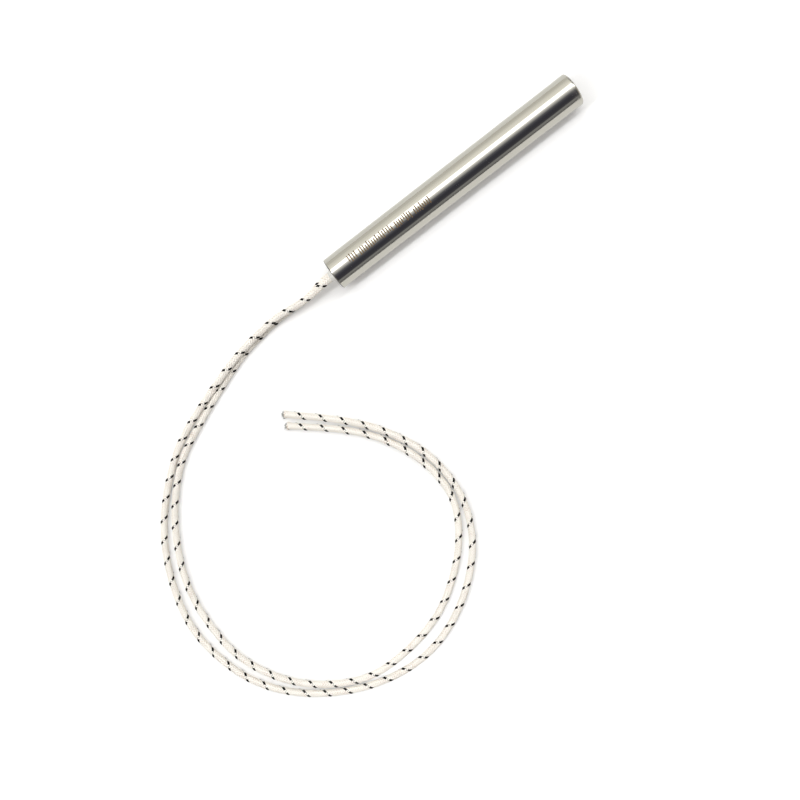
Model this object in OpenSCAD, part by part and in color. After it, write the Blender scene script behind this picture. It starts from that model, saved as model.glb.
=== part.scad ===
// Cartridge heater with two braided leads, lying on its side.
// A steel tube is closed by a welded disc at one end. A ceramic element wound with resistance
// wire is packed in magnesia inside it, and the leads are sealed into the open mouth.
// X runs along the axis towards the closed end, Z is up, and the tube rests on Z = 0.

/* [Sheath] */
// Outside diameter of the sheath tube
sheath_d = 14; // [13:0.5:20]
// Length of the sheath tube
sheath_len = 120; // [80:1:240]
// Wall of the sheath tube
sheath_wall = 1; // [0.9:0.1:1.2]
// Rounding of the closed end's edge
end_round = 0.8; // [0.3:0.1:0.8]
// Chamfer on the mouth's edge
mouth_chamfer = 0.3; // [0.1:0.1:0.5]

/* [Closed end] */
// Thickness of the welded end disc
disc_t = 2.5; // [1.5:0.5:4]
// Depth of the disc's face below the tube's rim
disc_recess = 0.4; // [0.2:0.1:0.6]
// Thickness of the magnesia spacer behind the disc
spacer_t = 3; // [2:0.5:6]

/* [Element] */
// Diameter of the magnesia cores
core_d = 8; // [7.5:0.5:9]
// Diameter of the two power pins
pin_d = 1.6; // [1.2:0.1:2]
// Diameter of the resistance wire
wire_d = 0.5; // [0.3:0.05:0.6]
// Turns of resistance wire along the cores
wire_turns = 36; // [20:1:40]
// Open length beside the cores, where the wire turns in to a pin
turn_gap = 2; // [1.5:0.5:4]
// Length of the short pin inside the first core
short_pin_grip = 10; // [4:1:12]

/* [Lead end] */
// Depth of the seal inside the mouth
seal_depth = 5; // [3:0.5:10]
// How far the seal climbs the leads outside the mouth
seal_proud = 2; // [1:0.5:4]
// How far the seal's foot spreads round each lead
seal_spread = 1.5; // [0.5:0.1:1.8]
// Depth of the seal's face below the mouth's rim
seal_recess = 0.3; // [0.1:0.1:0.8]
// Thickness of the mica washer behind the seal
washer_t = 1; // [0.5:0.5:2]
// Length of the ceramic bush round the crimped joints
bush_len = 12; // [10:1:20]
// Thickness of the bush's web, which the pins pass through
web_t = 3; // [2:0.5:5]
// Wall of the crimp ferrules
ferrule_wall = 0.35; // [0.25:0.05:0.5]
// Wall of the glass sleeves over the ferrules
sleeve_wall = 0.25; // [0.15:0.05:0.4]

/* [Leads] */
// Outside diameter of each braided lead
lead_d = 3; // [2.4:0.1:3.4]
// Diameter of the stranded conductor in each lead
conductor_d = 1.3; // [0.9:0.1:1.5]
// Space between the leads where they leave the seal
pair_gap = 0.3; // [0.2:0.1:0.6]
// Slope of the pair of leads about the heater's axis
pair_tilt = 60; // [0:5:90]
// Length of the strand tips beyond the cut braid
tip_len = 0.5; // [0.2:0.1:2]

/* [Hidden] */
$fn = 64;

// Clearances
fit = 0.02;            // round each fitted piece
joint_clear = 0.4;     // at the ends of each crimped joint
overcut = 1;           // past the faces that a cut runs through

// Radii
sheath_r = sheath_d / 2;
bore_r = sheath_r - sheath_wall;
insert_r = bore_r - fit;
pin_r = pin_d / 2;
lead_r = lead_d / 2;
joint_r = max(pin_d, conductor_d) / 2 + fit;
ferrule_r = joint_r + ferrule_wall;
sleeve_r = ferrule_r + fit + sleeve_wall;
pocket_r = sleeve_r + fit;
end_fillet_r = min(end_round, sheath_wall - fit);
bead_r = disc_recess;

// Stations along the axis, measured inwards from the mouth
core_count = 5;
washer_s = seal_depth;
bush_s = washer_s + washer_t;
web_s = bush_s + bush_len - web_t;
turn_s = bush_s + bush_len;
core_s = turn_s + turn_gap;
disc_s = sheath_len - disc_recess - disc_t;
spacer_s = disc_s - spacer_t;
core_end_s = spacer_s - turn_gap;
core_len = (core_end_s - core_s) / core_count;
ferrule_s = bush_s + joint_clear;
ferrule_len = web_s - bush_s - 2 * joint_clear;
ferrule_mid_s = ferrule_s + ferrule_len / 2;
pin_s = ferrule_mid_s + joint_clear / 2;
bared_len = ferrule_mid_s - joint_clear / 2 - bush_s;

// The heater's box, with the part of the seal that stands out, is centred on the origin
axis_z = sheath_r;
mouth_x = (seal_proud - sheath_len) / 2;

// The pair: side 1 is lead a, above, and side -1 is lead b, below
A = 1;
B = -1;
pair_pitch = max(lead_d, 2 * sleeve_r) + pair_gap;
function pair_y(side) = -side * pair_pitch / 2 * cos(pair_tilt);
function pair_z(side) = side * pair_pitch / 2 * sin(pair_tilt);

// The winding
coil_steps = 16;       // rings in each turn
coil_sides = 5;
wire_r = wire_d / 2;
coil_r = (core_d / 2 + wire_r + fit) / cos(180 / coil_steps);
fill_r = coil_r + wire_r + fit;
wire_on_pin_r = pair_pitch / 2 + pin_r + fit + wire_r;
turn_in = coil_steps / 2;
coil_total = 3 * turn_in + wire_turns * coil_steps;

// The leads' routes: places from the mouth along X, across the axis along Y,
// and the height of the lead's underside above the floor
lead_sides = 12;
rings_per_span = 3;
lead_a_route = [
    [-16, -1, 4.9], [-24.5, 0, 3.8], [-33, 0.5, 3.3], [-50.5, -1.5, 3.15], [-68, -6, 2.45],
    [-85, -11.5, 1.05], [-93.5, -15, 0.25], [-101.5, -19.5, 0], [-115.5, -31, 0], [-127.5, -45.5, 0],
    [-136, -62.5, 0], [-140.5, -81, 0], [-139, -99, 0], [-132.5, -116.5, 0], [-120.5, -131, 0],
    [-104, -142, 0], [-86, -148.5, 0], [-68, -150, 0], [-51, -146, 0], [-34.5, -136.5, 0],
    [-20.5, -122, 0], [-13, -103.5, 0], [-14, -83, 0], [-22, -65, 0], [-34, -50, 0], [-52.5, -33, 0]
];
lead_b_route = [
    [-16, -0.5, 1.75], [-24.5, 0, 0.5], [-33, 0, 0.05], [-50.5, -2.5, 0], [-67.5, -8, 0],
    [-84, -14.5, 0], [-100, -22.5, 0], [-114, -35.5, 0], [-124.5, -51, 0], [-131.5, -68.5, 0],
    [-133.5, -87.5, 0], [-131, -105.5, 0], [-122, -122.5, 0], [-108, -135.5, 0], [-90, -143.5, 0],
    [-69.5, -143.5, 0], [-49.5, -138, 0], [-32, -126, 0], [-20.5, -112, 0], [-16, -98.5, 0],
    [-18, -82, 0], [-25.5, -66, 0], [-37, -52.5, 0], [-54.5, -37.5, 0]
];

// Placing: children stand on the axis, or on one side of the pair, pointing to the closed end
module on_axis(s) {
    translate([mouth_x + s, 0, axis_z]) rotate([0, 90, 0]) children();
}

module on_lead(side, s) {
    translate([mouth_x + s, pair_y(side), axis_z + pair_z(side)]) rotate([0, 90, 0]) children();
}

// Drills one hole for each side of the pair
module pair_holes(r, s, depth) {
    for (side = [A, B])
        on_lead(side, s) cylinder(r = r, h = depth);
}

// A tube or wire skinned over rings of points
module skin(rings, sides) {
    last = len(rings) - 1;
    walls = [
        for (i = [0 : last - 1])
            for (k = [0 : sides - 1])
                let (
                    a = i * sides + k,
                    b = i * sides + (k + 1) % sides,
                    c = a + sides,
                    d = b + sides
                )
                each [[a, b, d], [a, d, c]]
    ];
    start_cap = [[for (k = [sides - 1 : -1 : 0]) k]];
    end_cap = [[for (k = [0 : sides - 1]) last * sides + k]];
    polyhedron(points = [for (r = rings) each r], faces = concat(start_cap, walls, end_cap));
}

function ring(p, u, v, r, sides) =
    [for (k = [0 : sides - 1]) p + r * (cos(360 * k / sides) * u + sin(360 * k / sides) * v)];

function unit(v) = v / norm(v);

// A smooth curve from b to c, with a and d as its neighbours
function curve(a, b, c, d, t) =
    (2 * b + (c - a) * t + (2 * a - 5 * b + 4 * c - d) * t ^ 2 + (3 * b - a - 3 * c + d) * t ^ 3) / 2;

function resting(p) = [p.x, p.y, max(p.z, lead_r)];

// The lead's centre line: straight through the seal, then a smooth curve through its route
function lead_point(side, s) = [mouth_x + s, pair_y(side), axis_z + pair_z(side)];

function lead_stops(side, route) = concat(
    [lead_point(side, -seal_proud), lead_point(side, -seal_proud - lead_d)],
    [for (q = route) [mouth_x + q.x, q.y, q.z + lead_r]]
);

function lead_line(side, route) =
    let (
        stops = lead_stops(side, route),
        n = len(stops),
        ends = concat(stops, [2 * stops[n - 1] - stops[n - 2]])
    )
    concat(
        [lead_point(side, bush_s), lead_point(side, -seal_proud)],
        [
            for (i = [1 : n - 2])
                for (k = [0 : rings_per_span - 1])
                    resting(curve(ends[i - 1], ends[i], ends[i + 1], ends[i + 2], k / rings_per_span))
        ],
        [stops[n - 1]]
    );

function heading(line, i) = unit(line[min(i + 1, len(line) - 1)] - line[max(i - 1, 0)]);

function lead_rings(line) = [
    for (i = [0 : len(line) - 1])
        let (
            t = heading(line, i),
            across = unit(cross(t, [0, 0, 1])),
            up = cross(across, t)
        )
        ring(line[i], across, -up, lead_r, lead_sides)
];

// The wire starts on the short pin, climbs to the cores, winds along them and drops to the long pin
function wire_ramp(i) = min(1, i / turn_in, (coil_total - i) / turn_in);

function wire_rings() = [
    for (i = [0 : coil_total])
        let (
            angle = 360 * i / coil_steps + atan2(pair_z(B), pair_y(B)),
            out = [0, cos(angle), sin(angle)],
            along = min(1, max(0, (i - turn_in) / (coil_total - 2 * turn_in))),
            s = core_s - turn_gap / 2 + along * (core_end_s - core_s + turn_gap),
            r = wire_on_pin_r + wire_ramp(i) * (coil_r - wire_on_pin_r)
        )
        ring([mouth_x + s, 0, axis_z] + r * out, out, [1, 0, 0], wire_r, coil_sides)
];

// Drawn steel tube, ground outside, rounded at the welded end
module sheath() {
    color("silver") on_axis(0) rotate_extrude() difference() {
        translate([bore_r, 0]) square([sheath_wall, sheath_len]);
        translate([sheath_r, 0]) rotate(45) square(sqrt(2) * mouth_chamfer, center = true);
        translate([sheath_r - end_fillet_r, sheath_len - end_fillet_r]) difference() {
            square(end_fillet_r + overcut);
            circle(r = end_fillet_r);
        }
    }
}

// Steel disc with the run of weld that joins its edge to the tube
module end_disc() {
    color("lightgray") on_axis(disc_s) rotate_extrude() {
        square([insert_r, disc_t]);
        intersection() {
            translate([insert_r, disc_t]) circle(r = bead_r);
            square([insert_r, disc_t + bead_r]);
        }
    }
}

// Pressed magnesia disc between the winding and the end disc
module end_spacer() {
    color("ivory") on_axis(spacer_s) cylinder(r = insert_r, h = spacer_t);
}

// One of the stacked winding cores, with a hole for each pin
module core(i) {
    start = core_s + (i - 1) * core_len;
    color("ivory") difference() {
        on_axis(start) cylinder(d = core_d, h = core_len);
        pair_holes(pin_r + fit, start - overcut, core_len + 2 * overcut);
    }
}

module resistance_wire() {
    color("dimgray") skin(wire_rings(), coil_sides);
}

// Runs through the whole stack to the far end of the winding
module long_pin() {
    color("tan") on_lead(A, pin_s) cylinder(r = pin_r, h = spacer_s - fit - pin_s);
}

// Ends inside the first core
module short_pin() {
    color("tan") on_lead(B, pin_s) cylinder(r = pin_r, h = core_s + short_pin_grip - pin_s);
}

// Compacted powder between the winding and the tube
module magnesia_fill() {
    color("whitesmoke") on_axis(turn_s) difference() {
        cylinder(r = insert_r, h = spacer_s - turn_s);
        translate([0, 0, -overcut]) cylinder(r = fill_r, h = spacer_s - turn_s + 2 * overcut);
    }
}

// Ceramic bush: a pocket for the two crimped joints, and a web with a hole for each pin
module lead_bush() {
    color("ivory") difference() {
        on_axis(bush_s) cylinder(r = insert_r, h = bush_len);
        on_axis(bush_s - overcut) linear_extrude(web_s - bush_s + overcut) {
            for (side = [A, B])
                translate([-pair_z(side), pair_y(side)]) circle(r = pocket_r);
            rotate(atan2(pair_y(A), -pair_z(A))) square([pair_pitch, 2 * pocket_r], center = true);
        }
        pair_holes(pin_r + fit, web_s - overcut, web_t + 2 * overcut);
    }
}

module mica_washer() {
    color("darkkhaki") difference() {
        on_axis(washer_s) cylinder(r = insert_r, h = washer_t);
        pair_holes(lead_r + fit, washer_s - overcut, washer_t + 2 * overcut);
    }
}

// Crimped joint between a pin and its lead's conductor, waisted by two crimps
module ferrule(side) {
    crimp_r = 2 * ferrule_wall;
    crimp_depth = ferrule_wall / 2;
    color("gainsboro") on_lead(side, ferrule_s) rotate_extrude() difference() {
        translate([joint_r, 0]) square([ferrule_wall, ferrule_len]);
        for (h = [ferrule_len / 4, 3 * ferrule_len / 4])
            translate([ferrule_r + crimp_r - crimp_depth, h]) circle(r = crimp_r);
    }
}

module ferrule_sleeve(side) {
    color("wheat") on_lead(side, ferrule_s) difference() {
        cylinder(r = sleeve_r, h = ferrule_len);
        translate([0, 0, -overcut]) cylinder(r = ferrule_r + fit, h = ferrule_len + 2 * overcut);
    }
}

// Seven strands, one in the middle and six round it
module strands(length) {
    strand_pitch = conductor_d / 3;
    cylinder(r = strand_pitch / 2 - fit, h = length);
    for (k = [0 : 5])
        rotate(60 * k) translate([strand_pitch, 0]) cylinder(r = strand_pitch / 2 - fit, h = length);
}

// The bare ends of a lead's conductor: in its ferrule, and at the cut end of the braid
module conductor(side, route) {
    line = lead_line(side, route);
    last = len(line) - 1;
    way = heading(line, last);
    color("lightsteelblue") {
        on_lead(side, bush_s) strands(bared_len);
        translate(line[last]) rotate([0, 0, atan2(way.y, way.x)]) rotate([0, 90, 0]) strands(tip_len);
    }
}

// The seal's foot, a hollow curve from the flat face up to the lead's skin
module seal_foot(side) {
    steps = 6;
    tip_r = lead_r + 5 * fit;
    spread = min(seal_spread, insert_r - pair_pitch / 2 - tip_r);
    rise = seal_proud + seal_recess;
    slope = [
        for (i = [0 : steps])
            let (a = 90 * i / steps)
            [tip_r + spread * (1 - sin(a)), seal_recess - rise * (1 - cos(a))]
    ];
    on_lead(side, 0) rotate_extrude()
        polygon(concat([[0, seal_depth], [tip_r + spread, seal_depth]], slope, [[0, -seal_proud]]));
}

// Potting that fills the mouth and climbs round both leads
module end_seal() {
    color("gainsboro") difference() {
        union() {
            on_axis(seal_recess) cylinder(r = insert_r, h = seal_depth - seal_recess);
            seal_foot(A);
            seal_foot(B);
        }
        pair_holes(lead_r + fit, -seal_proud - overcut, seal_proud + seal_depth + 2 * overcut);
    }
}

module lead(side, route) {
    color("seashell") skin(lead_rings(lead_line(side, route)), lead_sides);
}

sheath();
end_disc();
end_spacer();
core(1);  // core_1
core(2);  // core_2
core(3);  // core_3
core(4);  // core_4
core(5);  // core_5
resistance_wire();
long_pin();
short_pin();
magnesia_fill();
lead_bush();
mica_washer();
ferrule(A);  // ferrule_a
ferrule(B);  // ferrule_b
ferrule_sleeve(A);  // ferrule_sleeve_a
ferrule_sleeve(B);  // ferrule_sleeve_b
conductor(A, lead_a_route);  // conductor_a
conductor(B, lead_b_route);  // conductor_b
end_seal();
lead(A, lead_a_route);  // lead_a
lead(B, lead_b_route);  // lead_b
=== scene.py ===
# %% [markdown]
# # A cartridge heater with two braided leads
#
# The heater is a ground steel tube that slides into a bore in a die. Its closed end is welded, and
# two glass-braided leads come out of the potting in its mouth and lie in a loose loop.
# This lesson dresses the exact model: first the camera and the leads, then the tube, its two ends
# and the finishes, and last the floor and the light.

import math

import bmesh
import bpy
import numpy as np
from mathutils import Matrix, Vector


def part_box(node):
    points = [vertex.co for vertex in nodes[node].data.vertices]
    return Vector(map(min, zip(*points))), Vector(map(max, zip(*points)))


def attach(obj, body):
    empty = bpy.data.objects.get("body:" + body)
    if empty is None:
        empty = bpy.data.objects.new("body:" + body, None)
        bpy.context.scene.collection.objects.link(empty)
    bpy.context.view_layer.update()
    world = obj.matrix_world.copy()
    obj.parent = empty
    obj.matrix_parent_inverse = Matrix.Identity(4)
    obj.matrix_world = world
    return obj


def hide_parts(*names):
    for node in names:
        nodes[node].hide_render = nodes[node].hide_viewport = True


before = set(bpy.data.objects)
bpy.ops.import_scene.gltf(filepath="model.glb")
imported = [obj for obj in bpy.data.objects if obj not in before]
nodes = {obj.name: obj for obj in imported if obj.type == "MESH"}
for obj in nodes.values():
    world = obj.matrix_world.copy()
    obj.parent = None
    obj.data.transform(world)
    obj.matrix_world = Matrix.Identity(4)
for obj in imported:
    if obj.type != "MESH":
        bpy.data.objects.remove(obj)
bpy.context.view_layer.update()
MM = 0.001

# %% [markdown]
# ## Sizes from the exact model
#
# Every dressed piece has to lie where its solid lies. So the main sizes are read from the boxes of
# the exact model and not typed again: the tube gives the place of the mouth, the length and the
# axis, and later pieces read what they need in the same way.


# %% Read the tube's sizes
def box_of(name):
    """Lowest and highest corner of a node of the exact model, in mm."""
    return [[round(c / MM, 4) for c in corner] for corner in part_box(name)]


tube_low, tube_high = box_of("sheath")
MOUTH_X = tube_low[0]
LENGTH = tube_high[0] - MOUTH_X
SHEATH_R = (tube_high[2] - tube_low[2]) / 2
AXIS_Z = tube_low[2] + SHEATH_R
print("tube, mm: mouth at", MOUTH_X, "length", LENGTH, "radius", SHEATH_R, "axis height", AXIS_Z)

# %% [markdown]
# ## Two small helpers
#
# One function adds a node with its settings and links, and serves shaders and geometry trees alike.
# A node that is given as an input stands for its first output, so sums can follow one another.
# Colours are written as sRGB hex, as a colour picker gives them, and turned to linear light in one
# place.

# %% Nodes and colours
MATH = "ShaderNodeMath"
VECTOR_MATH = "ShaderNodeVectorMath"
# Takes, in order, a value, the range that it comes from and the range that it goes to
MAP_RANGE = "ShaderNodeMapRange"
COMBINE = "ShaderNodeCombineXYZ"
SEPARATE = "ShaderNodeSeparateXYZ"


def add(tree, kind, inputs=(), operation=None, **settings):
    """One node with its settings. Inputs, in order or by name or number, are values, sockets or nodes."""
    node = tree.nodes.new(kind)
    if operation:
        node.operation = operation
    for name, value in settings.items():
        setattr(node, name, value)
    pairs = inputs.items() if isinstance(inputs, dict) else enumerate(inputs)
    for name, value in pairs:
        if isinstance(value, bpy.types.Node):
            value = value.outputs[0]
        if isinstance(value, bpy.types.NodeSocket):
            tree.links.new(value, node.inputs[name])
        else:
            node.inputs[name].default_value = value
    return node


def linear(colour):
    """An sRGB hex colour as linear red, green, blue and alpha."""
    parts = [int(colour[i : i + 2], 16) / 255 for i in (1, 3, 5)]
    return [c / 12.92 if c <= 0.04045 else ((c + 0.055) / 1.055) ** 2.4 for c in parts] + [1.0]


print("mid grey in linear light:", round(linear("#808080")[0], 4))

# %% [markdown]
# ## The camera
#
# The camera is fitted to straight outlines in the picture. It stands about 0.39 m above the floor
# and looks almost straight down, turned so that the tube runs up to the right. The lens, in mm on
# the sensor, comes from how much larger the nearer things look.

# %% Place the camera
SENSOR = 36
LENS = 41.99
EYE = (-27.43, -59.0, 386.72)
LOOK = (-0.1066, 0.0043, -0.9943)
PICTURE_UP = (0.5959, 0.8008, -0.0604)
camera = bpy.data.objects.new("camera", bpy.data.cameras.new("camera"))
bpy.context.scene.collection.objects.link(camera)
bpy.context.scene.camera = camera
camera.data.sensor_width = SENSOR
camera.data.lens = LENS
camera.data.clip_start = 10 * MM
forward = Vector(LOOK).normalized()
right = forward.cross(Vector(PICTURE_UP)).normalized()
up = right.cross(forward)
aim = Matrix((right, up, -forward)).transposed().to_4x4()
camera.matrix_world = Matrix.Translation(Vector(EYE) * MM) @ aim
print("camera at, mm:", [round(c / MM, 1) for c in camera.matrix_world.translation], "lens, mm:", LENS)

# %% [markdown]
# ## The leads' routes
#
# Each lead runs straight through the potting, then follows a smooth curve through listed points.
# The points and the curve are those of the exact model, so the braid lies where its solid lies.
# The two leads start in line with the two pins inside the tube. The line is cut into short even
# steps, which the braid can follow.


# %% Where the leads start
def middle_of(name):
    """Middle of a node's box, in mm."""
    low, high = box_of(name)
    return [(a + b) / 2 for a, b in zip(low, high)]


# Places of the two leads on the mouth's disc, across and up from the axis
PAIR = {}
for side, pin in (("a", "long_pin"), ("b", "short_pin")):
    y, z = middle_of(pin)[1:]
    PAIR[side] = (y, z - AXIS_Z)
lead_high = box_of("lead_a")[1]
LEAD_R = round(lead_high[2] - middle_of("long_pin")[2], 3)
LEAD_START = lead_high[0] - MOUTH_X
SEAL_PROUD = MOUTH_X - box_of("end_seal")[0][0]
print("leads, mm: radius", LEAD_R, "start", LEAD_START, "behind the mouth, at", PAIR)

# %% Centre lines of the two leads
# Each point: from the mouth along the axis, across it, and the lead's underside above the floor
ROUTES = {
    "a": [
        [-16, -1, 4.9], [-24.5, 0, 3.8], [-33, 0.5, 3.3], [-50.5, -1.5, 3.15], [-68, -6, 2.45],
        [-85, -11.5, 1.05], [-93.5, -15, 0.25], [-101.5, -19.5, 0], [-115.5, -31, 0], [-127.5, -45.5, 0],
        [-136, -62.5, 0], [-140.5, -81, 0], [-139, -99, 0], [-132.5, -116.5, 0], [-120.5, -131, 0],
        [-104, -142, 0], [-86, -148.5, 0], [-68, -150, 0], [-51, -146, 0], [-34.5, -136.5, 0],
        [-20.5, -122, 0], [-13, -103.5, 0], [-14, -83, 0], [-22, -65, 0], [-34, -50, 0], [-52.5, -33, 0],
    ],
    "b": [
        [-16, -0.5, 1.75], [-24.5, 0, 0.5], [-33, 0, 0.05], [-50.5, -2.5, 0], [-67.5, -8, 0],
        [-84, -14.5, 0], [-100, -22.5, 0], [-114, -35.5, 0], [-124.5, -51, 0], [-131.5, -68.5, 0],
        [-133.5, -87.5, 0], [-131, -105.5, 0], [-122, -122.5, 0], [-108, -135.5, 0], [-90, -143.5, 0],
        [-69.5, -143.5, 0], [-49.5, -138, 0], [-32, -126, 0], [-20.5, -112, 0], [-16, -98.5, 0],
        [-18, -82, 0], [-25.5, -66, 0], [-37, -52.5, 0], [-54.5, -37.5, 0],
    ],
}
POINTS_PER_SPAN = 40
LINE_STEP = 0.5


def exit_of(side):
    """Where a lead leaves the potting, in mm."""
    y, z = PAIR[side]
    return np.array([MOUTH_X - SEAL_PROUD, y, AXIS_Z + z])


def smooth(a, b, c, d, t):
    """A point on the smooth curve from b to c, with a and d as its neighbours."""
    bend = (2 * a - 5 * b + 4 * c - d) * t**2 + (3 * b - a - 3 * c + d) * t**3
    return (2 * b + (c - a) * t + bend) / 2


def lead_line(side):
    """Evenly spaced points along a lead's centre line, and its length, in mm."""
    out = exit_of(side)
    stops = [out, out - [2 * LEAD_R, 0, 0]]
    stops += [np.array([MOUTH_X + x, y, under + LEAD_R]) for x, y, under in ROUTES[side]]
    stops.append(2 * stops[-1] - stops[-2])
    line = [out + [SEAL_PROUD + LEAD_START, 0, 0], out]
    for a, b, c, d in zip(stops, stops[1:], stops[2:], stops[3:]):
        for t in np.linspace(0, 1, POINTS_PER_SPAN, endpoint=False):
            x, y, z = smooth(a, b, c, d, t)
            line.append(np.array([x, y, max(z, LEAD_R)]))
    line = np.array(line + [stops[-2]])
    along = np.concatenate([[0], np.cumsum(np.linalg.norm(np.diff(line, axis=0), axis=1))])
    even = np.linspace(0, along[-1], round(along[-1] / LINE_STEP) + 1)
    return np.column_stack([np.interp(even, along, line[:, i]) for i in range(3)]), along[-1]


LINES = {side: lead_line(side) for side in ROUTES}
for side, (line, length) in LINES.items():
    print("lead", side, "points:", len(line), "length, mm:", round(length, 1))

# %% [markdown]
# ## Glass yarn
#
# The braid is made of glass yarns. They are cream and soft; their colour is painted darker, as painted
# shade, at their edges and where a yarn dives under its neighbours. Fine filaments give each yarn a faint
# grain, and one yarn is dyed black as a tracer. A picture wrapped round the lead would slip in the bends.
# So the braid tells each of its points how high it lies and where on its yarn it is, and the finish follows
# that.

# %% What every finish needs
# The mix node's colour sockets share their names with its other sockets, so they go by number
MIX_LOW = 6
MIX_HIGH = 7
MIX_COLOUR = 2


def new_finish(name):
    """An empty material and its node tree."""
    material = bpy.data.materials.new(name)
    material.use_nodes = True
    material.node_tree.nodes.clear()
    return material, material.node_tree


def grain(tree, size, detail=2.0, stretch=(1, 1, 1), where=None):
    """A pattern of grains about size metres across, drawn out along the axes by stretch."""
    if where is None:
        where = add(tree, "ShaderNodeTexCoord").outputs["Object"]
    drawn_out = add(tree, "ShaderNodeMapping", {"Vector": where, "Scale": [1 / s for s in stretch]})
    inputs = {"Vector": drawn_out, "Scale": 1 / size, "Detail": detail, "Roughness": 0.55}
    return add(tree, "ShaderNodeTexNoise", inputs)


def surface(tree, pattern, low, high, inputs, relief=None, strength=0.0, depth=0.0):
    """Ends a finish: two colours that follow a pattern, relief of a depth in metres, and other inputs."""
    inputs = dict(inputs)
    low, high = [linear(colour) if isinstance(colour, str) else colour for colour in (low, high)]
    colours = {"Factor": pattern, MIX_LOW: low, MIX_HIGH: high}
    inputs["Base Color"] = add(tree, "ShaderNodeMix", colours, data_type="RGBA").outputs[MIX_COLOUR]
    if relief is not None:
        bumps = {"Height": relief, "Strength": strength, "Distance": depth}
        inputs["Normal"] = add(tree, "ShaderNodeBump", bumps)
    add(tree, "ShaderNodeOutputMaterial", [add(tree, "ShaderNodeBsdfPrincipled", inputs)])


# %% Yarn finishes
# Glass filaments are about 0.01 mm thick, too fine to show, so they are drawn as bundles of 0.07 mm
FILAMENTS = 0.07 * MM
FILAMENT_STRETCH = (1, 14, 1)
HANDLING_PATCH = 3.5 * MM
# Off the middle of a yarn, between these distances, its colour turns deep: painted shade at the yarn's edges
EDGE_START = 0.23 * MM
EDGE_END = 0.36 * MM
GLASS_IOR = 1.52


def yarn(name, deep, pale, inputs):
    """Yarn with painted shade where it dives and at its edges, and a deeper colour between its filaments."""
    material, tree = new_finish(name)
    lift, across, along, number = [
        add(tree, "ShaderNodeAttribute", attribute_name=word).outputs["Fac"]
        for word in ("lift", "across", "along", "number")
    ]
    on_yarn = add(tree, COMBINE, [across, along, number])
    filaments = grain(tree, FILAMENTS, stretch=FILAMENT_STRETCH, where=on_yarn)
    # Each share goes from deep to pale: by height (painted shade where a yarn dives), handling, filaments and
    # place across the yarn (painted shade at its edges)
    tint = add(tree, MAP_RANGE, [lift, -0.7, 0.5, 0.25, 1.0])
    handled = grain(tree, HANDLING_PATCH)
    fine = add(tree, MAP_RANGE, [filaments, 0.3, 0.6, 0.7, 1.1])
    off_middle = add(tree, MATH, [across], "ABSOLUTE")
    inner = add(tree, MAP_RANGE, [off_middle, EDGE_START, EDGE_END, 1.0, 0.25])
    for part in (handled, fine, inner):
        tint = add(tree, MATH, [tint, part], "MULTIPLY")
    tint = add(tree, MAP_RANGE, [tint, 0.03, 0.24, 0.0, 1.0])
    inputs = dict(inputs, IOR=GLASS_IOR)
    surface(tree, tint, deep, pale, inputs, relief=filaments, strength=0.7, depth=0.05 * MM)
    return material


# Cream size on the glass: nearly white and matt, with a faint sheen from the filaments
soft = {"Roughness": 0.6, "Sheen Weight": 0.15}
# The deep colour is painted shade where a yarn dives and at its edges
GLASS_YARN = yarn("glass yarn, braided, cream size", "#C9A990", "#FFFBF3", soft)
# Dye takes the shine away, so the tracer reads as flat black dashes
flat = {"Roughness": 0.75, "Specular IOR Level": 0.2}
TRACER_YARN = yarn("glass yarn, dyed black", "#080606", "#120E0C", flat)
# The lapping is the real core under the braid, and its darker colour is painted shade in the gaps of the
# braid
LEAD_CORE = yarn("glass lapping under the braid", "#C6B39F", "#DECFBD", {"Roughness": 0.7})
print("yarn finishes:", [m.name for m in (GLASS_YARN, TRACER_YARN, LEAD_CORE)])

# %% [markdown]
# ## The braid as a rule
#
# A braiding machine sends eight yarns round one way and eight the other way. Each goes over two and
# under two, so the height of a yarn depends only on the angle round the lead: at one angle the
# right-hand yarns lie on top, and an eighth of a turn further the left-hand ones do.
# Sixteen yarns are too many to lay by hand along a curved lead. The tree below lays them on that
# rule, flattens each into a ribbon, and frays the last few millimetres at the cut end. The tracer is
# a thicker yarn, wider and a little proud. All inputs are named, and the lengths are in metres.


# %% A tree with named inputs
def new_tree(name, sizes, counts, finishes):
    """An empty geometry tree with named inputs, and those inputs as sockets."""
    tree = bpy.data.node_groups.new(name, "GeometryNodeTree")
    kinds = {
        "NodeSocketGeometry": ["Geometry"], "NodeSocketFloat": sizes,
        "NodeSocketInt": counts, "NodeSocketMaterial": finishes,
    }
    for kind, words in kinds.items():
        for word in words:
            tree.interface.new_socket(name=word, in_out="INPUT", socket_type=kind)
    tree.interface.new_socket(name="Geometry", in_out="OUTPUT", socket_type="NodeSocketGeometry")
    return tree, add(tree, "NodeGroupInput").outputs


# %% The angle and the height of each yarn
YARNS = 16


def yarn_angles(tree, number, place_on_yarn):
    """The angle of each yarn at each of its points, and its lift from -1, below, to 1, on top."""
    # Even numbers turn one way and odd ones the other way
    odd = add(tree, MATH, [number, 2.0], "MODULO")
    hand = add(tree, MATH, [odd, -2.0, 1.0], "MULTIPLY_ADD")
    rank = add(tree, MATH, [number, 2.0], "DIVIDE")
    rank = add(tree, MATH, [rank], "FLOOR")
    start = add(tree, MATH, [rank, 2 * math.tau / YARNS], "MULTIPLY")
    steps_round = add(tree, MATH, [place_on_yarn, hand], "MULTIPLY")
    angle = add(tree, MATH, [steps_round, math.tau / YARNS, start], "MULTIPLY_ADD")
    # Over two and under two makes four waves in a turn
    wave = add(tree, MATH, [angle, YARNS / 4, -math.pi / 4], "MULTIPLY_ADD")
    wave = add(tree, MATH, [wave], "COSINE")
    return angle, add(tree, MATH, [wave, hand], "MULTIPLY")


# %% The fray at the cut end
# The most that a yarn is short by, as a share of the frayed length
MOST_TRIM = 0.3
# Makes a second chance out of the first one
SHUFFLE = 7.31


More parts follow.
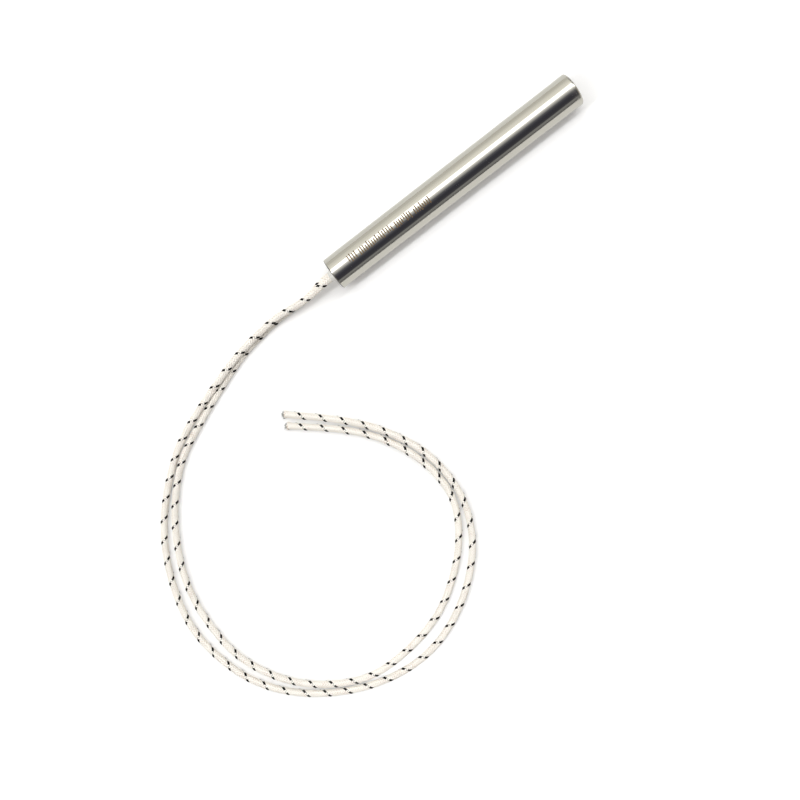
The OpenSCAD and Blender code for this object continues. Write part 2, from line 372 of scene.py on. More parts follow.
def cut_end(tree, given, length, along, number):
    """How much shorter each yarn is near the cut end, and how far it flares, both by chance."""
    left = add(tree, MATH, [length, along], "SUBTRACT")
    left = add(tree, MATH, [left, given["Fray Length"]], "DIVIDE")
    fray = add(tree, MATH, [1.0, left], "SUBTRACT", use_clamp=True)
    fray = add(tree, MATH, [fray, 2.0], "POWER")
    chance = {2: 0.0, 3: 1.0, "ID": number, "Seed": given["Seed"]}
    wide = add(tree, "FunctionNodeRandomValue", chance, data_type="FLOAT").outputs[1]
    short = add(tree, MATH, [wide, SHUFFLE], "MULTIPLY")
    short = add(tree, MATH, [short], "FRACT")
    short = add(tree, MATH, [short, fray], "MULTIPLY")
    most = add(tree, MATH, [given["Fray Length"], MOST_TRIM], "MULTIPLY")
    trim = add(tree, MATH, [short, most], "MULTIPLY")
    flare = add(tree, MATH, [wide, 0.5, 0.5], "MULTIPLY_ADD")
    flare = add(tree, MATH, [flare, given["Fray Spread"]], "MULTIPLY")
    return trim, add(tree, MATH, [flare, fray], "MULTIPLY")


# %% From an angle round a route to a place in space
# In metres, and further than anything reaches, so that only the height has a lower limit
NO_LIMIT = -10.0


def round_route(tree, at, angle, radius, clearance):
    """The way out from a route at an angle, and the place at a radius, held off the floor by clearance."""
    side = add(tree, VECTOR_MATH, [at["Tangent"], at["Normal"]], "CROSS_PRODUCT")
    cosine = add(tree, MATH, [angle], "COSINE")
    sine = add(tree, MATH, [angle], "SINE")
    first = add(tree, VECTOR_MATH, {0: at["Normal"], "Scale": cosine}, "SCALE")
    second = add(tree, VECTOR_MATH, {0: side, "Scale": sine}, "SCALE")
    outward = add(tree, VECTOR_MATH, [first, second], "ADD")
    reach = add(tree, VECTOR_MATH, {0: outward, "Scale": radius}, "SCALE")
    spot = add(tree, VECTOR_MATH, [at["Position"], reach], "ADD")
    lowest = add(tree, COMBINE, [NO_LIMIT, NO_LIMIT, clearance])
    return outward, add(tree, VECTOR_MATH, [spot, lowest], "MAXIMUM")


# %% Ribbons and the core inside them
YARN_SIDES = 6
CORE_SIDES = 12


def ribbons(tree, given, yarns, width):
    """A flat ribbon for each yarn, with its place across it kept for the finish."""
    ring = add(tree, "GeometryNodeCurvePrimitiveCircle", {"Resolution": YARN_SIDES, "Radius": 0.5})
    size = add(tree, COMBINE, [given["Yarn Thickness"], given["Yarn Width"], 1.0])
    ring = add(tree, "GeometryNodeTransform", {"Geometry": ring, "Scale": size})
    across = add(tree, SEPARATE, [add(tree, "GeometryNodeInputPosition")]).outputs["Y"]
    kept = {"Geometry": ring, "Name": "across", "Value": across}
    ring = add(tree, "GeometryNodeStoreNamedAttribute", kept, data_type="FLOAT", domain="POINT")
    swept = {"Curve": yarns, "Profile Curve": ring, "Scale": width, "Fill Caps": True}
    swept = add(tree, "GeometryNodeCurveToMesh", swept)
    return add(tree, "GeometryNodeSetMaterial", {"Geometry": swept, "Material": given["Yarn"]})


def lapping(tree, given, route, steps):
    """The round core inside the braid, with half as many steps."""
    count = add(tree, MATH, [steps, 2.0], "DIVIDE")
    coarse = add(tree, "GeometryNodeResampleCurve", {"Curve": route, "Count": count})
    ring = {"Resolution": CORE_SIDES, "Radius": given["Core Radius"]}
    ring = add(tree, "GeometryNodeCurvePrimitiveCircle", ring)
    core = {"Curve": coarse, "Profile Curve": ring, "Fill Caps": True}
    core = add(tree, "GeometryNodeCurveToMesh", core)
    return add(tree, "GeometryNodeSetMaterial", {"Geometry": core, "Material": given["Core"]})


# %% Braid tree
# Share of a yarn's thickness that it keeps between its middle and the floor
FLOOR_SHARE = 0.63


def braid_tree():
    sizes = [
        "Lay", "Middle Radius", "Relief", "Yarn Width", "Yarn Thickness", "Tracer Scale", "Tracer Lift",
        "Core Radius", "Fray Length", "Fray Spread", "Turn",
    ]
    tree, given = new_tree("braid along a route", sizes, ["Seed"], ["Yarn", "Tracer", "Core"])
    route = add(tree, "GeometryNodeMeshToCurve", [given["Geometry"]])
    length = add(tree, "GeometryNodeCurveLength", [route])
    # Sixteen points to a lay, so that each point is where two yarns cross
    steps = add(tree, MATH, [length, float(YARNS)], "MULTIPLY")
    steps = add(tree, MATH, [steps, given["Lay"]], "DIVIDE")
    steps = add(tree, MATH, [steps], "ROUND")
    step = add(tree, MATH, [length, steps], "DIVIDE")
    count = add(tree, MATH, [steps, 1.0], "ADD")
    straight = add(tree, "GeometryNodeCurvePrimitiveLine")
    straight = add(tree, "GeometryNodeResampleCurve", {"Curve": straight, "Count": count})
    copies = {"Geometry": straight, "Amount": YARNS}
    copies = add(tree, "GeometryNodeDuplicateElements", copies, domain="SPLINE").outputs
    number = copies["Duplicate Index"]
    place_on_yarn = add(tree, "GeometryNodeSplineParameter").outputs["Index"]
    angle, lift = yarn_angles(tree, number, place_on_yarn)
    along = add(tree, MATH, [place_on_yarn, step], "MULTIPLY")
    trim, flare = cut_end(tree, given, length, along, number)
    along = add(tree, MATH, [along, trim], "SUBTRACT")

    # Yarn 0 is the tracer: it stands further out and is wider than the others
    black = add(tree, MATH, [number, 0.5], "LESS_THAN")
    proud = add(tree, MATH, [black, given["Tracer Lift"], lift], "MULTIPLY_ADD")
    radius = add(tree, MATH, [proud, given["Relief"], given["Middle Radius"]], "MULTIPLY_ADD")
    radius = add(tree, MATH, [radius, flare], "ADD")
    wider = add(tree, MATH, [given["Tracer Scale"], 1.0], "SUBTRACT")
    width = add(tree, MATH, [black, wider, 1.0], "MULTIPLY_ADD")
    clearance = add(tree, MATH, [given["Yarn Thickness"], FLOOR_SHARE], "MULTIPLY")
    clearance = add(tree, MATH, [clearance, width], "MULTIPLY")

    # The yarns go to their places and keep what the finish asks for
    sample = {"Curves": route, "Length": along}
    at = add(tree, "GeometryNodeSampleCurve", sample, mode="LENGTH", use_all_curves=False).outputs
    angle = add(tree, MATH, [angle, given["Turn"]], "ADD")
    outward, spot = round_route(tree, at, angle, radius, clearance)
    yarns = copies["Geometry"]
    kept = {"lift": lift, "along": along, "number": number, "tracer": black, "outward": outward}
    for name, value in kept.items():
        kind = "FLOAT_VECTOR" if name == "outward" else "FLOAT"
        inputs = {"Geometry": yarns, "Name": name, "Value": value}
        yarns = add(tree, "GeometryNodeStoreNamedAttribute", inputs, data_type=kind, domain="POINT")
    yarns = add(tree, "GeometryNodeSetPosition", {"Geometry": yarns, "Position": spot})
    outward = add(tree, "GeometryNodeInputNamedAttribute", {"Name": "outward"}, data_type="FLOAT_VECTOR")
    yarns = add(tree, "GeometryNodeSetCurveNormal", {"Curve": yarns, "Normal": outward}, mode="FREE")

    # Core and ribbons bring their finishes to the whole, and the marked yarn is dyed last
    whole = add(tree, "GeometryNodeJoinGeometry")
    for part in (lapping(tree, given, route, steps), ribbons(tree, given, yarns, width)):
        tree.links.new(part.outputs[0], whole.inputs[0])
    whole = add(tree, "GeometryNodeSetShadeSmooth", [whole])
    whole = add(tree, "GeometryNodeRealizeInstances", [whole])
    marked = add(tree, "GeometryNodeInputNamedAttribute", {"Name": "tracer"}, data_type="FLOAT")
    dyed = {"Geometry": whole, "Selection": marked, "Material": given["Tracer"]}
    dyed = add(tree, "GeometryNodeSetMaterial", dyed)
    add(tree, "NodeGroupOutput", [dyed])
    return tree


BRAID = braid_tree()
print("braid tree nodes:", len(BRAID.nodes), "inputs:", len(BRAID.interface.items_tree) - 1)

# %% [markdown]
# ## The two leads
#
# The lay of the braid, one turn of a yarn in about 9 mm, comes from the spacing of the black dashes
# in the picture, and the turn of the whole braid from their places. Each braided lead stands for the
# plain round solid of the exact model.
# A tree's result is kept as a plain mesh, which can be moved, exported and looked at anywhere.


# %% From a tree to a plain piece
def baked(host, modifier):
    """The host with its modifier's result as a plain mesh."""
    bpy.context.view_layer.update()
    plain = bpy.data.meshes.new_from_object(host.evaluated_get(bpy.context.evaluated_depsgraph_get()))
    rough = host.data
    host.modifiers.remove(modifier)
    host.data = plain
    bpy.data.meshes.remove(rough)
    plain.name = host.name
    # A box made by a tree brings an empty first slot
    if plain.materials and plain.materials[0] is None:
        plain.materials.pop(index=0)
    plain.calc_loop_triangles()
    print(host.name, "triangles:", len(plain.loop_triangles), "materials:", [m.name for m in plain.materials])
    return host


def grown(name, points, edges, tree, values):
    """A plain mesh grown by a geometry tree from points and edges in mm."""
    seed = bpy.data.meshes.new(name + " seed")
    seed.from_pydata([tuple(np.array(p) * MM) for p in points], edges, [])
    host = bpy.data.objects.new(name, seed)
    bpy.context.scene.collection.objects.link(host)
    modifier = host.modifiers.new("grow", "NODES")
    modifier.node_group = tree
    # Inputs go by their identifiers and are set before the tree first runs
    for item in tree.interface.items_tree:
        if item.in_out == "INPUT" and item.name in values:
            modifier[item.identifier] = values[item.name]
    return baked(host, modifier)


def place(piece, slot, *stands_for):
    """The piece rides with the heater and may stand for nodes of the exact model."""
    if stands_for:
        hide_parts(*stands_for)
    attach(piece, "root")


# %% Grow the leads
LEAD_SIZES = {
    "Lay": 9.0 * MM, "Middle Radius": 1.277 * MM, "Relief": 0.16 * MM, "Core Radius": 1.08 * MM,
    "Yarn Width": 0.76 * MM, "Yarn Thickness": 0.22 * MM, "Tracer Scale": 1.35, "Tracer Lift": 0.7,
    "Fray Length": 2.4 * MM, "Fray Spread": 0.45 * MM, "Turn": math.radians(115),
    "Yarn": GLASS_YARN, "Tracer": TRACER_YARN, "Core": LEAD_CORE,
}
for side, seed in (("a", 4), ("b", 9)):
    line, length = LINES[side]
    edges = [(i, i + 1) for i in range(len(line) - 1)]
    lead = grown("braided_lead_" + side, line, edges, BRAID, dict(LEAD_SIZES, Seed=seed))
    place(lead, "glass_braid", "lead_" + side)

# %% [markdown]
# ## Strands at the cut ends
#
# The leads are cut square, and the conductor's fine tinned strands stick out of the braid, each a
# little longer or further out than the next. A small tree spreads copies of one short line in a
# golden-angle spiral, which fills a round bundle evenly, bends them outwards and gives them thickness.

# %% Strand tree
GOLDEN_ANGLE = math.tau * 0.381966
SHORTEST_STRAND = 0.6
STRAND_POINTS = 6
STRAND_SIDES = 6


def strand_tree():
    sizes = ["Strand Radius", "Bundle Radius", "Splay"]
    tree, given = new_tree("splayed strands", sizes, ["Count", "Seed"], ["Strand"])
    line = add(tree, "GeometryNodeMeshToCurve", [given["Geometry"]])
    fine = add(tree, "GeometryNodeResampleCurve", {"Curve": line, "Count": STRAND_POINTS})
    copies = {"Geometry": fine, "Amount": given["Count"]}
    copies = add(tree, "GeometryNodeDuplicateElements", copies, domain="SPLINE").outputs
    number = copies["Duplicate Index"]
    factor = add(tree, "GeometryNodeSplineParameter").outputs["Factor"]
    chance = {2: SHORTEST_STRAND, 3: 1.0, "ID": number, "Seed": given["Seed"]}
    share_of_line = add(tree, "FunctionNodeRandomValue", chance, data_type="FLOAT").outputs[1]
    share_of_line = add(tree, MATH, [factor, share_of_line], "MULTIPLY")
    angle = add(tree, MATH, [number, GOLDEN_ANGLE], "MULTIPLY")
    radius = add(tree, MATH, [number, 0.5], "ADD")
    radius = add(tree, MATH, [radius, given["Count"]], "DIVIDE")
    radius = add(tree, MATH, [radius], "SQRT")
    radius = add(tree, MATH, [radius, given["Bundle Radius"]], "MULTIPLY")
    bend = add(tree, MATH, [factor, factor], "MULTIPLY")
    bend = add(tree, MATH, [bend, given["Splay"], 1.0], "MULTIPLY_ADD")
    radius = add(tree, MATH, [radius, bend], "MULTIPLY")
    sample = {"Curves": line, "Factor": share_of_line}
    at = add(tree, "GeometryNodeSampleCurve", sample, mode="FACTOR", use_all_curves=False).outputs
    spot = round_route(tree, at, angle, radius, given["Strand Radius"])[1]
    strands = add(tree, "GeometryNodeSetPosition", {"Geometry": copies["Geometry"], "Position": spot})
    ring = {"Resolution": STRAND_SIDES, "Radius": given["Strand Radius"]}
    ring = add(tree, "GeometryNodeCurvePrimitiveCircle", ring)
    wires = {"Curve": strands, "Profile Curve": ring, "Fill Caps": True}
    wires = add(tree, "GeometryNodeCurveToMesh", wires)
    wires = add(tree, "GeometryNodeSetShadeSmooth", [wires])
    wires = add(tree, "GeometryNodeRealizeInstances", [wires])
    wires = add(tree, "GeometryNodeSetMaterial", {"Geometry": wires, "Material": given["Strand"]})
    add(tree, "NodeGroupOutput", [wires])
    return tree


STRANDS = strand_tree()
print("strand tree nodes:", len(STRANDS.nodes))


# %% Strand tips
def metal(name, low, high, roughness, size, stretch=(1, 1, 1)):
    """A bare metal: two close colours in a grain, and the same grain as faint relief."""
    material, tree = new_finish(name)
    fine = grain(tree, size, detail=3.0, stretch=stretch)
    inputs = {"Metallic": 1.0, "Roughness": roughness}
    surface(tree, fine, low, high, inputs, relief=fine, strength=0.3, depth=0.002 * MM)
    return material


# Tin gives the fine strands a pale satin grey
TINNED = metal("tinned copper strands, drawn", "#8F8F8E", "#C4C4C2", roughness=0.35, size=0.2 * MM)
TIP_INSIDE = 1.0
TIP_OUTSIDE = 1.1
STRAND_SIZES = {
    "Count": 26, "Strand Radius": 0.09 * MM, "Bundle Radius": 0.85 * MM, "Splay": 0.9, "Strand": TINNED,
}
for side, seed in (("a", 3), ("b", 8)):
    line = LINES[side][0]
    heading = line[-1] - line[-3]
    heading /= np.linalg.norm(heading)
    ends = [line[-1] - TIP_INSIDE * heading, line[-1] + TIP_OUTSIDE * heading]
    tips = grown("strand_tips_" + side, ends, [(0, 1)], STRANDS, dict(STRAND_SIZES, Seed=seed))
    place(tips, "tinned_copper")

# %% [markdown]
# ## The sheath
#
# The sheath is a drawn stainless tube, ground to size and polished, so that it slides into a reamed
# bore. It is turned here from its section, as a lathe would make it: a small chamfer at the mouth, a
# rounded edge at the closed end, and extra rings beside both edges that keep the shading straight
# along the tube.


# %% Turn a section round the heater's axis
def turned(name, section, sides, closed=False, shape=None, sharp=35):
    """A solid turned from points (distance from the mouth, radius) in mm."""
    work = bmesh.new()
    rings = []
    for k in range(sides):
        angle = math.tau * k / sides
        ring = []
        for s, r in section:
            if shape:
                s, r = shape(s, r, angle)
            spot = Vector((MOUTH_X + s, r * math.sin(angle), AXIS_Z + r * math.cos(angle)))
            ring.append(work.verts.new(spot * MM))
        rings.append(ring)
    count = len(section)
    for k in range(sides):
        here, there = rings[k], rings[(k + 1) % sides]
        for i in range(count if closed else count - 1):
            j = (i + 1) % count
            work.faces.new((here[i], here[j], there[j], there[i]))
    bmesh.ops.remove_doubles(work, verts=work.verts, dist=1e-7)
    bmesh.ops.recalc_face_normals(work, faces=work.faces)
    mesh = bpy.data.meshes.new(name)
    work.to_mesh(mesh)
    work.free()
    mesh.shade_smooth()
    mesh.set_sharp_from_angle(angle=math.radians(sharp))
    piece = bpy.data.objects.new(name, mesh)
    bpy.context.scene.collection.objects.link(piece)
    print(name, "faces:", len(mesh.polygons))
    return piece


def arc(middle_s, middle_r, radius, start, step):
    """A quarter circle of section points, from start degrees: 0 is outwards and 90 to the closed end."""
    turns = [math.radians(degrees) for degrees in range(start, start + 91, step)]
    return [(middle_s + radius * math.sin(t), middle_r + radius * math.cos(t)) for t in turns]


# %% Sheath
TUBE_SIDES = 192
WALL = 1.0
BORE_R = SHEATH_R - WALL
CHAMFER = 0.3
EASE = 0.03
RUN_OUT = 0.34
SHADING_RINGS = (0.6, 30, 60, 90, 118.8)
END_ROUND = 0.8
section = [
    (0, BORE_R), (0, SHEATH_R - WALL / 2),
    (0, SHEATH_R - CHAMFER - EASE), (EASE, SHEATH_R - CHAMFER + EASE),
    (CHAMFER - EASE, SHEATH_R - EASE), (RUN_OUT, SHEATH_R),
]
section += [(s, SHEATH_R) for s in SHADING_RINGS]
section += arc(LENGTH - END_ROUND, SHEATH_R - END_ROUND, END_ROUND, 0, 9)
section.append((LENGTH, BORE_R))
sheath = turned("ground_sheath", section, TUBE_SIDES, closed=True)
place(sheath, "sheath_steel", "sheath")

# %% [markdown]
# ## Polished steel
#
# Polished stainless steel shows little but what stands round it. Faint lines along the tube are left
# from drawing, so the grain is stretched a hundred times and more along the axis. The last few
# millimetres at the closed end are dulled and scuffed by the welding clamp. The chamfer at the mouth
# is not polished, and its dark grey colour is a painted dark reflection, which draws a dark ring there.

# %% Steel finish
# Drawn lines and polish are a few hundredths of a mm wide, and drawn wider here so that they show
DRAWN_LINES = 0.5 * MM
FINE_LINES = 0.22 * MM
POLISH_STREAKS = 0.9 * MM
SCUFFS = 1.1 * MM
# Where the scuffs start and where they are full, from the closed end
SCUFF_START = 4.5
SCUFF_FULL = 1.0
SCUFF_DULLNESS = 0.28
SCUFF_RELIEF = 6.0


def sheath_steel():
    """Nearly a mirror, with faint lines along it and a dull, scuffed end."""
    material, tree = new_finish("stainless tube, ground and polished")
    where = add(tree, "ShaderNodeTexCoord").outputs["Object"]
    along = add(tree, SEPARATE, [where]).outputs["X"]
    lines = grain(tree, DRAWN_LINES, detail=3.0, stretch=(150, 1, 1))
    tail = MOUTH_X + LENGTH
    end = add(tree, MAP_RANGE, [along, (tail - SCUFF_START) * MM, (tail - SCUFF_FULL) * MM, 0.0, 1.0])
    scuffs = grain(tree, SCUFFS, detail=4.0, stretch=(1, 2, 2))
    scuffs = add(tree, MATH, [end, scuffs], "MULTIPLY")
    polish = grain(tree, POLISH_STREAKS, stretch=(60, 1, 1))
    rough = add(tree, MAP_RANGE, [polish, 0.3, 0.7, 0.09, 0.12])
    rough = add(tree, MATH, [scuffs, SCUFF_DULLNESS, rough], "MULTIPLY_ADD")
    relief = grain(tree, FINE_LINES, stretch=(200, 1, 1))
    relief = add(tree, MATH, [scuffs, SCUFF_RELIEF, relief], "MULTIPLY_ADD")
    inputs = {"Metallic": 1.0, "Roughness": rough}
    surface(tree, lines, "#BCB9AF", "#CAC8BF", inputs, relief=relief, strength=0.25, depth=0.0025 * MM)
    return material


# Sawing and deburring leave the edge dull; its dark grey colour is a painted dark reflection that draws a
# dark ring at the mouth
painted_dark_edge = metal("stainless edge, dull, painted dark reflection", "#3E3D3B", "#5A5855", roughness=0.45, size=0.2 * MM)
for finish in (sheath_steel(), painted_dark_edge):
    sheath.data.materials.append(finish)
# Faces of the chamfer and just inside it
EDGE_R = SHEATH_R - 0.4
edge_faces = 0
for face in sheath.data.polygons:
    radius = (face.center.yz - Vector((0, AXIS_Z)) * MM).length
    if face.center.x < (MOUTH_X + CHAMFER) * MM and radius > EDGE_R * MM:
        face.material_index = 1
        edge_faces += 1
print("sheath finishes:", [m.name for m in sheath.data.materials], "edge faces:", edge_faces)

# %% [markdown]
# ## The closed end
#
# A steel disc is pressed into the tube and fused to it all round. The run of weld is a row of
# overlapping ripples, left as the arc goes round, so the bead's size rises and drops once a ripple.
# That is a rule on the angle, so the bead is turned like the tube and its points are moved by it.
# Heat leaves a faint straw colour beside the bead.

# %% End disc with its run of weld
disc_low = box_of("end_disc")[0]
DISC_S = disc_low[0] - MOUTH_X
DISC_R = AXIS_Z - disc_low[2]
DISC_CHAMFER = 0.1
FACE_RINGS = (5.3, 4.0, 2.0, 0)
BEAD_R = 0.4
FACE_S = LENGTH - BEAD_R
RIPPLES = 56
SIDES_PER_RIPPLE = 8
RIPPLE_DROP = 0.2
RIPPLE_LEAN = 0.6
RIPPLE_FLATNESS = 0.7


def ripple(s, r, angle):
    """Moves the points of the bead: each ripple is steep on one side and drawn out on the other."""
    if s <= FACE_S:
        return s, r
    phase = (angle / math.tau * RIPPLES) % 1.0
    rise = math.sin(math.pi * phase**RIPPLE_LEAN) ** RIPPLE_FLATNESS
    scale = 1 - RIPPLE_DROP + RIPPLE_DROP * rise
    return FACE_S + (s - FACE_S) * scale, DISC_R - (DISC_R - r) * scale


section = [(DISC_S, 0), (DISC_S, DISC_R - DISC_CHAMFER), (DISC_S + DISC_CHAMFER, DISC_R), (FACE_S, DISC_R)]
section += arc(FACE_S, DISC_R, BEAD_R, 90, 10)
section += [(FACE_S, r) for r in FACE_RINGS]
disc = turned("welded_end_disc", section, RIPPLES * SIDES_PER_RIPPLE, shape=ripple, sharp=50)
place(disc, "weld_steel", "end_disc")
print("weld ripples:", RIPPLES)

# %% Weld finish
TOOL_MARKS = 0.12 * MM
# Radii between which the heat colour grows, and its share beside the bead
HEAT_START = 4.6 * MM
HEAT_FULL = 5.6 * MM
MOST_HEAT = 0.7


def weld_steel():
    """Satin steel with the fine rings of the turning tool, straw-coloured by heat near the edge."""
    material, tree = new_finish("stainless disc, turned, with fused edge")
    where = add(tree, "ShaderNodeTexCoord").outputs["Object"]
    away = add(tree, VECTOR_MATH, [where, (0.0, 0.0, AXIS_Z * MM)], "SUBTRACT")
    away = add(tree, VECTOR_MATH, [away, (0.0, 1.0, 1.0)], "MULTIPLY")
    radius = add(tree, VECTOR_MATH, [away], "LENGTH").outputs["Value"]
    marks = grain(tree, TOOL_MARKS, where=add(tree, COMBINE, [radius]))
    heat = add(tree, MAP_RANGE, [radius, HEAT_START, HEAT_FULL, 0.0, MOST_HEAT])
    plain = {"Factor": marks, MIX_LOW: linear("#A9A7A1"), MIX_HIGH: linear("#BFBDB7")}
    plain = add(tree, "ShaderNodeMix", plain, data_type="RGBA").outputs[MIX_COLOUR]
    inputs = {"Metallic": 1.0, "Roughness": 0.32}
    surface(tree, heat, plain, "#A8926C", inputs, relief=marks, strength=0.3, depth=0.004 * MM)
    return material


disc.data.materials.append(weld_steel())
print("disc finish:", disc.data.materials[0].name)

# %% [markdown]
# ## The potting
#
# The mouth is closed with pale potting, poured round the leads. Before it sets it wets the braid and
# the wall, so its face is a curved meniscus: it climbs two millimetres up each lead and a little up
# the rim. The face is a height over the mouth's disc, which a formula gives better than modelling by
# hand, and it is cut by the two holes for the leads.

# %% Potting round the leads
seal_low, seal_high = box_of("end_seal")
SEAL_R = AXIS_Z - seal_low[2]
SEAL_DEPTH = seal_high[0] - MOUTH_X
SEAL_RECESS = 0.3
SEAL_SIDES = 128
FACE_STEPS = 48
BELOW_RIM = 1.0
HOLE_R = LEAD_R + 0.03
LEAD_FADE = 0.55
RIM_CLIMB = 0.25
RIM_FADE = 0.45


def climb(y, z):
    """How far the potting stands up at a place on the mouth's disc, in mm."""
    top = SEAL_RECESS + SEAL_PROUD
    away = [max(0.0, math.hypot(y - lead_y, z - lead_z) - HOLE_R) for lead_y, lead_z in PAIR.values()]
    parts = [top * math.exp(-distance / LEAD_FADE) for distance in away]
    parts.append(RIM_CLIMB * math.exp(-(SEAL_R - math.hypot(y, z)) / RIM_FADE))
    return min(top, sum(part**3 for part in parts) ** (1 / 3))


def meniscus(s, r, angle):
    """Lifts the points of the face."""
    if s > SEAL_RECESS:
        return s, r
    return SEAL_RECESS - climb(r * math.sin(angle), r * math.cos(angle)), r


section = [(SEAL_RECESS, r) for r in np.linspace(0, SEAL_R, FACE_STEPS)]
section += [(BELOW_RIM, SEAL_R), (SEAL_DEPTH, SEAL_R), (SEAL_DEPTH, 0)]
potting = turned("potting", section, SEAL_SIDES, shape=meniscus)

# %% Drill the potting for the leads
DRILL_LENGTH = 24 * MM
DRILL_SIDES = 64
HOLE_SHARP = 45
work = bmesh.new()
for y, z in PAIR.values():
    middle = Matrix.Translation(Vector((MOUTH_X, y, AXIS_Z + z)) * MM) @ Matrix.Rotation(math.pi / 2, 4, "Y")
    bmesh.ops.create_cone(
        work, cap_ends=True, segments=DRILL_SIDES, radius1=HOLE_R * MM, radius2=HOLE_R * MM,
        depth=DRILL_LENGTH, matrix=middle,
    )
drills = bpy.data.objects.new("drills", bpy.data.meshes.new("drills"))
work.to_mesh(drills.data)
work.free()
bpy.context.scene.collection.objects.link(drills)
cut = potting.modifiers.new("holes", "BOOLEAN")
cut.operation = "DIFFERENCE"
cut.solver = "EXACT"
cut.object = drills
baked(potting, cut)
bpy.data.objects.remove(drills)
potting.data.shade_smooth()
potting.data.set_sharp_from_angle(angle=math.radians(HOLE_SHARP))
place(potting, "potting", "end_seal")

# %% Potting finish
# How much larger the patches of colour are than the grain of the relief
PATCH_SCALE = 6


def cast(name, low, high, roughness, ior, size, depth):
    """A cast or pressed finish: two close colours in soft patches, with fine relief."""
    material, tree = new_finish(name)
    patches = grain(tree, PATCH_SCALE * size, detail=3.0)
    fine = grain(tree, size, detail=3.0)
    inputs = {"Roughness": roughness, "IOR": ior}
    surface(tree, patches, low, high, inputs, relief=fine, strength=0.5, depth=depth)
    return material


# Poured silicone sets with a soft gloss on a faintly uneven skin
silicone = cast(
    "silicone potting, poured, pale grey", "#DBDAD5", "#ECEBE7",
    roughness=0.38, ior=1.41, size=0.4 * MM, depth=0.02 * MM,
)
potting.data.materials.clear()
potting.data.materials.append(silicone)
print("potting finish:", silicone.name)

# %% [markdown]
# ## The etched place
#
# A laser has burnt a row of marks into the polish near the mouth, which are brown from heat. They
# are drawn as plain upright strokes in four groups. A tree walks along each group's line at an even
# pitch, sets a thin stroke at every step, varies its height and bends it round the tube. The strokes
# are real films of steel, so they can be seen from any side.

# %% Stroke tree
STROKE_POINTS = 16


def stroke_tree():
    sizes = [
        "Pitch", "Stroke Width", "Stroke Height", "Shortest", "Film", "Tube Radius", "Turn", "Axis Height",
    ]
    tree, given = new_tree("etched strokes", sizes, ["Seed"], ["Mark"])
    line = add(tree, "GeometryNodeMeshToCurve", [given["Geometry"]])
    steps = {"Curve": line, "Length": given["Pitch"]}
    points = add(tree, "GeometryNodeCurveToPoints", steps, mode="LENGTH").outputs["Points"]
    size = add(tree, COMBINE, [given["Stroke Width"], given["Stroke Height"], given["Film"]])
    bar = {"Size": size, "Vertices X": 2, "Vertices Y": STROKE_POINTS, "Vertices Z": 2}
    bar = add(tree, "GeometryNodeMeshCube", bar)
    bar = add(tree, "GeometryNodeSetMaterial", {"Geometry": bar, "Material": given["Mark"]})

    # A shorter stroke stands anywhere in the height that it leaves free
    chance = {2: given["Shortest"], 3: 1.0, "Seed": given["Seed"]}
    tall = add(tree, "FunctionNodeRandomValue", chance, data_type="FLOAT").outputs[1]
    scale = add(tree, COMBINE, [1.0, tall, 1.0])
    chance = {2: -0.5, 3: 0.5, "Seed": add(tree, MATH, [given["Seed"], 1.0], "ADD")}
    shift = add(tree, "FunctionNodeRandomValue", chance, data_type="FLOAT").outputs[1]
    free = add(tree, MATH, [1.0, tall], "SUBTRACT")
    free = add(tree, MATH, [free, given["Stroke Height"]], "MULTIPLY")
    shift = add(tree, MATH, [shift, free], "MULTIPLY")
    shift = add(tree, COMBINE, {1: shift})
    points = add(tree, "GeometryNodeSetPosition", {"Geometry": points, "Offset": shift})
    bars = {"Points": points, "Instance": bar, "Scale": scale}
    bars = add(tree, "GeometryNodeInstanceOnPoints", bars)
    bars = add(tree, "GeometryNodeRealizeInstances", [bars])

    # The flat row is bent round the tube
    flat = add(tree, SEPARATE, [add(tree, "GeometryNodeInputPosition")]).outputs
    angle = add(tree, MATH, [flat["Y"], given["Tube Radius"]], "DIVIDE")
    angle = add(tree, MATH, [angle, given["Turn"]], "ADD")
    radius = add(tree, MATH, [flat["Z"], given["Tube Radius"]], "ADD")
    sine = add(tree, MATH, [angle], "SINE")
    cosine = add(tree, MATH, [angle], "COSINE")
    y = add(tree, MATH, [radius, sine], "MULTIPLY")
    z = add(tree, MATH, [radius, cosine, given["Axis Height"]], "MULTIPLY_ADD")
    bent = add(tree, COMBINE, [flat["X"], y, z])
    bars = add(tree, "GeometryNodeSetPosition", {"Geometry": bars, "Position": bent})
    bars = add(tree, "GeometryNodeSetMaterial", {"Geometry": bars, "Material": given["Mark"]})
    add(tree, "NodeGroupOutput", [bars])
    return tree


# %% Etched strokes
BURNT_PATCH = 0.4 * MM


def laser_brown():
    """Heat leaves a matt brown oxide, patchy from one pulse of the laser to the next."""
    material, tree = new_finish("laser-etched steel, heat brown")
    patches = grain(tree, BURNT_PATCH, detail=3.0)
    surface(tree, patches, "#4A3820", "#80653C", {"Roughness": 0.6})
    return material


# Start and end of each group from the mouth, on a row that runs a little askew
GROUPS = [(9.0, 12.4), (14.4, 30.2), (32.2, 39.3), (41.4, 48.6)]
ROW_START = 0.65
ROW_SLOPE = 0.022
STROKE_SIZES = {
    "Pitch": 1.0 * MM, "Stroke Width": 0.48 * MM, "Stroke Height": 3.6 * MM, "Shortest": 0.5,
    "Film": 0.02 * MM, "Tube Radius": SHEATH_R * MM, "Turn": math.radians(-3.0), "Axis Height": AXIS_Z * MM,
    "Seed": 5, "Mark": laser_brown(),
}
points = [(MOUTH_X + s, ROW_START - ROW_SLOPE * s, 0) for group in GROUPS for s in group]
edges = [(2 * i, 2 * i + 1) for i in range(len(GROUPS))]
place(grown("etched_strokes", points, edges, stroke_tree(), STROKE_SIZES), "sheath_steel")

